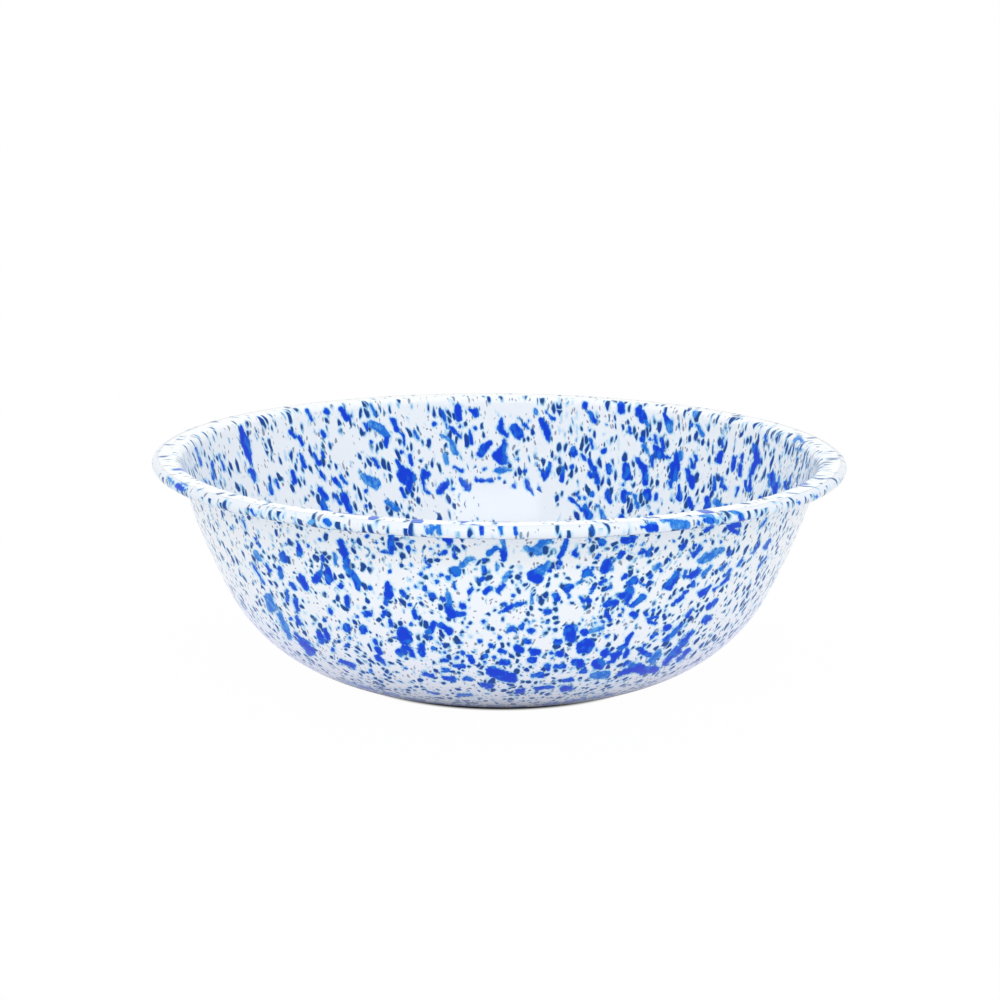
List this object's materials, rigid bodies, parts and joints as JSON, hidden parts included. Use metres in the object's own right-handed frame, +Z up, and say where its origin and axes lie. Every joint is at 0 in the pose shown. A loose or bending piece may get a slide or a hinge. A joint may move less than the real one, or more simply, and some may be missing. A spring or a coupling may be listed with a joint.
{
  "type": "enamel basin bowl",
  "caption": "Wide round enamelled steel basin bowl with a flat foot, flared wall, flat lip and rolled rim, white with a blue splattered finish.",
  "frame": {"origin": "centre of the underside of the flat foot, on the surface that the bowl stands on", "axes": "+Z up along the bowl's axis of revolution, towards the open mouth; +Y away from the viewer of the picture"},
  "size_m": [0.357, 0.3569, 0.1155],
  "materials": {
    "steel": "bare pressed sheet, hidden under the coats",
    "ground_coat": "thin dark fired ground coat, hidden under the white coat",
    "white_enamel": "glossy white fired enamel",
    "blue_enamel": "glossy cobalt blue fired enamel, splattered"
  },
  "bodies": {
    "root": {"steel_body": "steel", "ground_coat_inside": "ground_coat", "ground_coat_outside": "ground_coat", "white_coat_inside": "white_enamel", "white_coat_outside": "white_enamel", "blue_drops_inside": "blue_enamel", "blue_drops_outside": "blue_enamel", "blue_marks_rim": "blue_enamel"}
  },
  "joints": []
}
